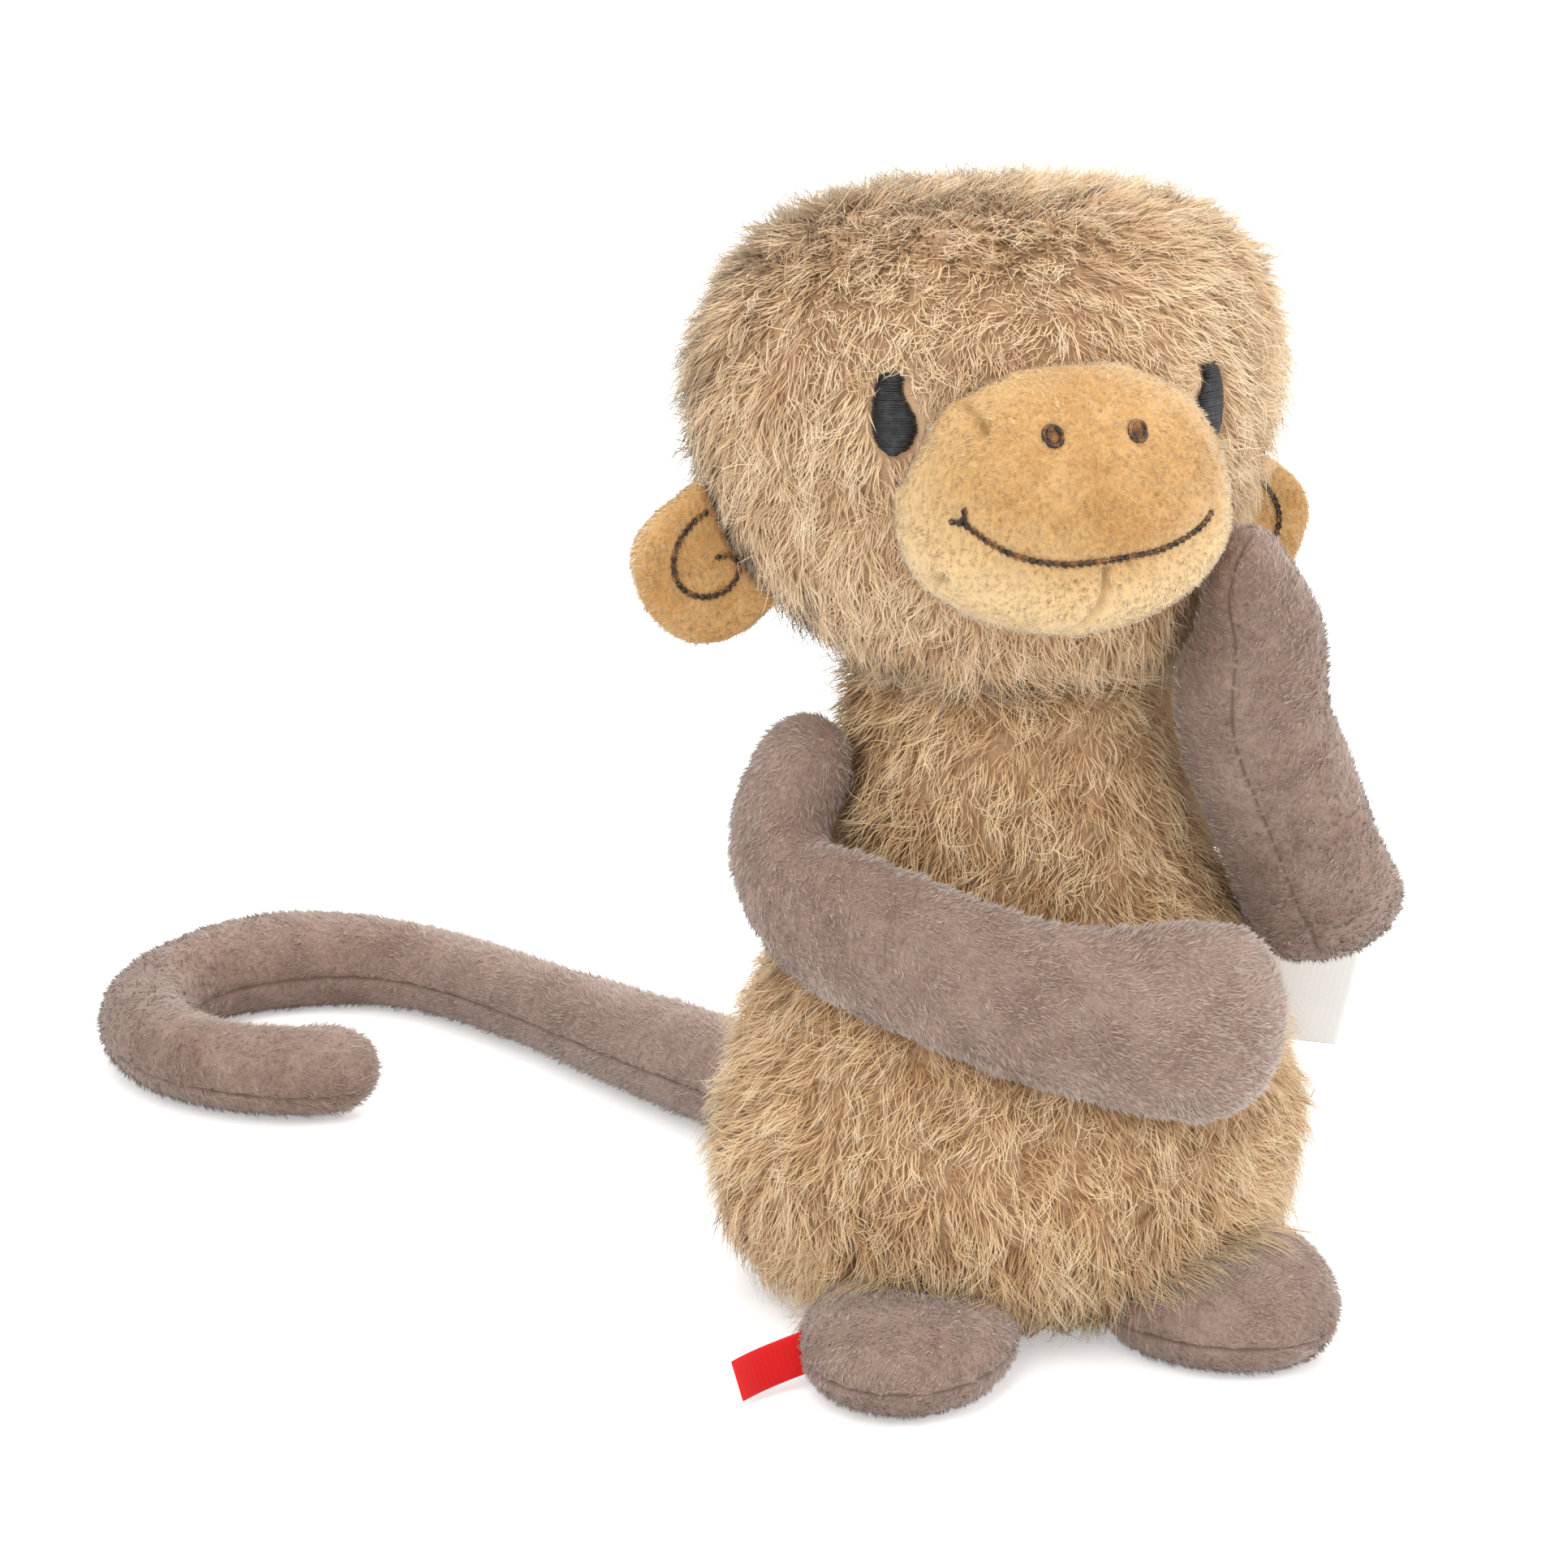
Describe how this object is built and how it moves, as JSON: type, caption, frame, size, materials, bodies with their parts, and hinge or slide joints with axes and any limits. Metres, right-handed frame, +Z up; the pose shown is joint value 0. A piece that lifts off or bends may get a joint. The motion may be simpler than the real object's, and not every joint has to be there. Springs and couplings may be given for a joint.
{
  "type": "plush monkey",
  "caption": "Sitting plush monkey with a furry head and body, short-pile muzzle and ears, soft arms, flat feet and a long hooked tail.",
  "frame": {"origin": "on the surface it sits on, under the middle of the seat", "axes": "+Z up, the face looks along -Y, the monkey's right side is at -X"},
  "size_m": [0.2875, 0.3695, 0.2774],
  "materials": {
    "head_fur": "long fur pile, pale brown",
    "body_fur": "long fur pile, warm pale brown",
    "yellow_pile": "short plush pile, honey yellow",
    "taupe_pile": "short plush pile, taupe",
    "brown_thread": "satin embroidery thread, dark brown",
    "black_thread": "satin embroidery thread, black",
    "red_ribbon": "woven satin ribbon, red, bare",
    "white_ribbon": "woven satin ribbon, white, bare",
    "wadding": "white polyester wadding",
    "pellet_bag_cloth": "plain lining cloth"
  },
  "bodies": {
    "body": {"body_cover": "body_fur", "body_stuffing": "wadding", "pellet_bag": "pellet_bag_cloth", "neck_thread": "brown_thread", "side_label": "white_ribbon"},
    "head": {"head_cover": "head_fur", "head_stuffing": "wadding", "muzzle_cover": "yellow_pile", "muzzle_stuffing": "wadding", "mouth_stitching": "brown_thread", "eye_right": "black_thread", "eye_left": "black_thread", "nostril_right": "brown_thread", "nostril_left": "brown_thread"},
    "ear_right": {"ear_right_front": "yellow_pile", "ear_right_back": "yellow_pile", "ear_right_spiral": "brown_thread"},
    "ear_left": {"ear_left_front": "yellow_pile", "ear_left_back": "yellow_pile", "ear_left_spiral": "brown_thread"},
    "arm_right": {"arm_right_cover": "taupe_pile", "arm_right_stuffing": "wadding"},
    "arm_left": {"arm_left_cover": "taupe_pile", "arm_left_stuffing": "wadding"},
    "tail": {"tail_cover": "taupe_pile", "tail_stuffing": "wadding"},
    "foot_right": {"foot_right_top": "taupe_pile", "foot_right_sole": "taupe_pile", "foot_right_stuffing": "wadding", "foot_flag": "red_ribbon"},
    "foot_left": {"foot_left_top": "taupe_pile", "foot_left_sole": "taupe_pile", "foot_left_stuffing": "wadding"}
  },
  "joints": [
    {"name": "neck_turn", "type": "hinge", "parent": "body", "child": "head", "pos_m": [0, 0, 0.166], "axis": [0, 0, -1], "range_deg": [0, 20]},
    {"name": "ear_right_flap", "type": "hinge", "parent": "head", "child": "ear_right", "pos_m": [-0.0715, 0.002, 0.19414], "axis": [-0.5878, 0, 0.809], "range_deg": [-20, 20]},
    {"name": "ear_left_flap", "type": "hinge", "parent": "head", "child": "ear_left", "pos_m": [0.0535, 0.002, 0.19414], "axis": [-0.5878, 0, -0.809], "range_deg": [-20, 20]},
    {"name": "shoulder_right", "type": "hinge", "parent": "body", "child": "arm_right", "pos_m": [-0.04739, -0.00331, 0.152], "axis": [0, 0, 1], "range_deg": [-60, 0]},
    {"name": "shoulder_left", "type": "hinge", "parent": "body", "child": "arm_left", "pos_m": [0.05141, 0.0018, 0.148], "axis": [0.4199, -0.341, -0.841], "range_deg": [-45, 0]},
    {"name": "tail_swing", "type": "hinge", "parent": "body", "child": "tail", "pos_m": [-0.01304, 0.06137, 0.024], "axis": [0, 0, 1], "range_deg": [-20, 20]},
    {"name": "foot_right_lift", "type": "hinge", "parent": "body", "child": "foot_right", "pos_m": [-0.04016, -0.04863, 0.021], "axis": [-0.866, 0.5, 0], "range_deg": [0, 20]},
    {"name": "foot_left_lift", "type": "hinge", "parent": "body", "child": "foot_left", "pos_m": [0.03201, -0.05351, 0.021], "axis": [-0.866, -0.5, 0], "range_deg": [0, 20]}
  ]
}
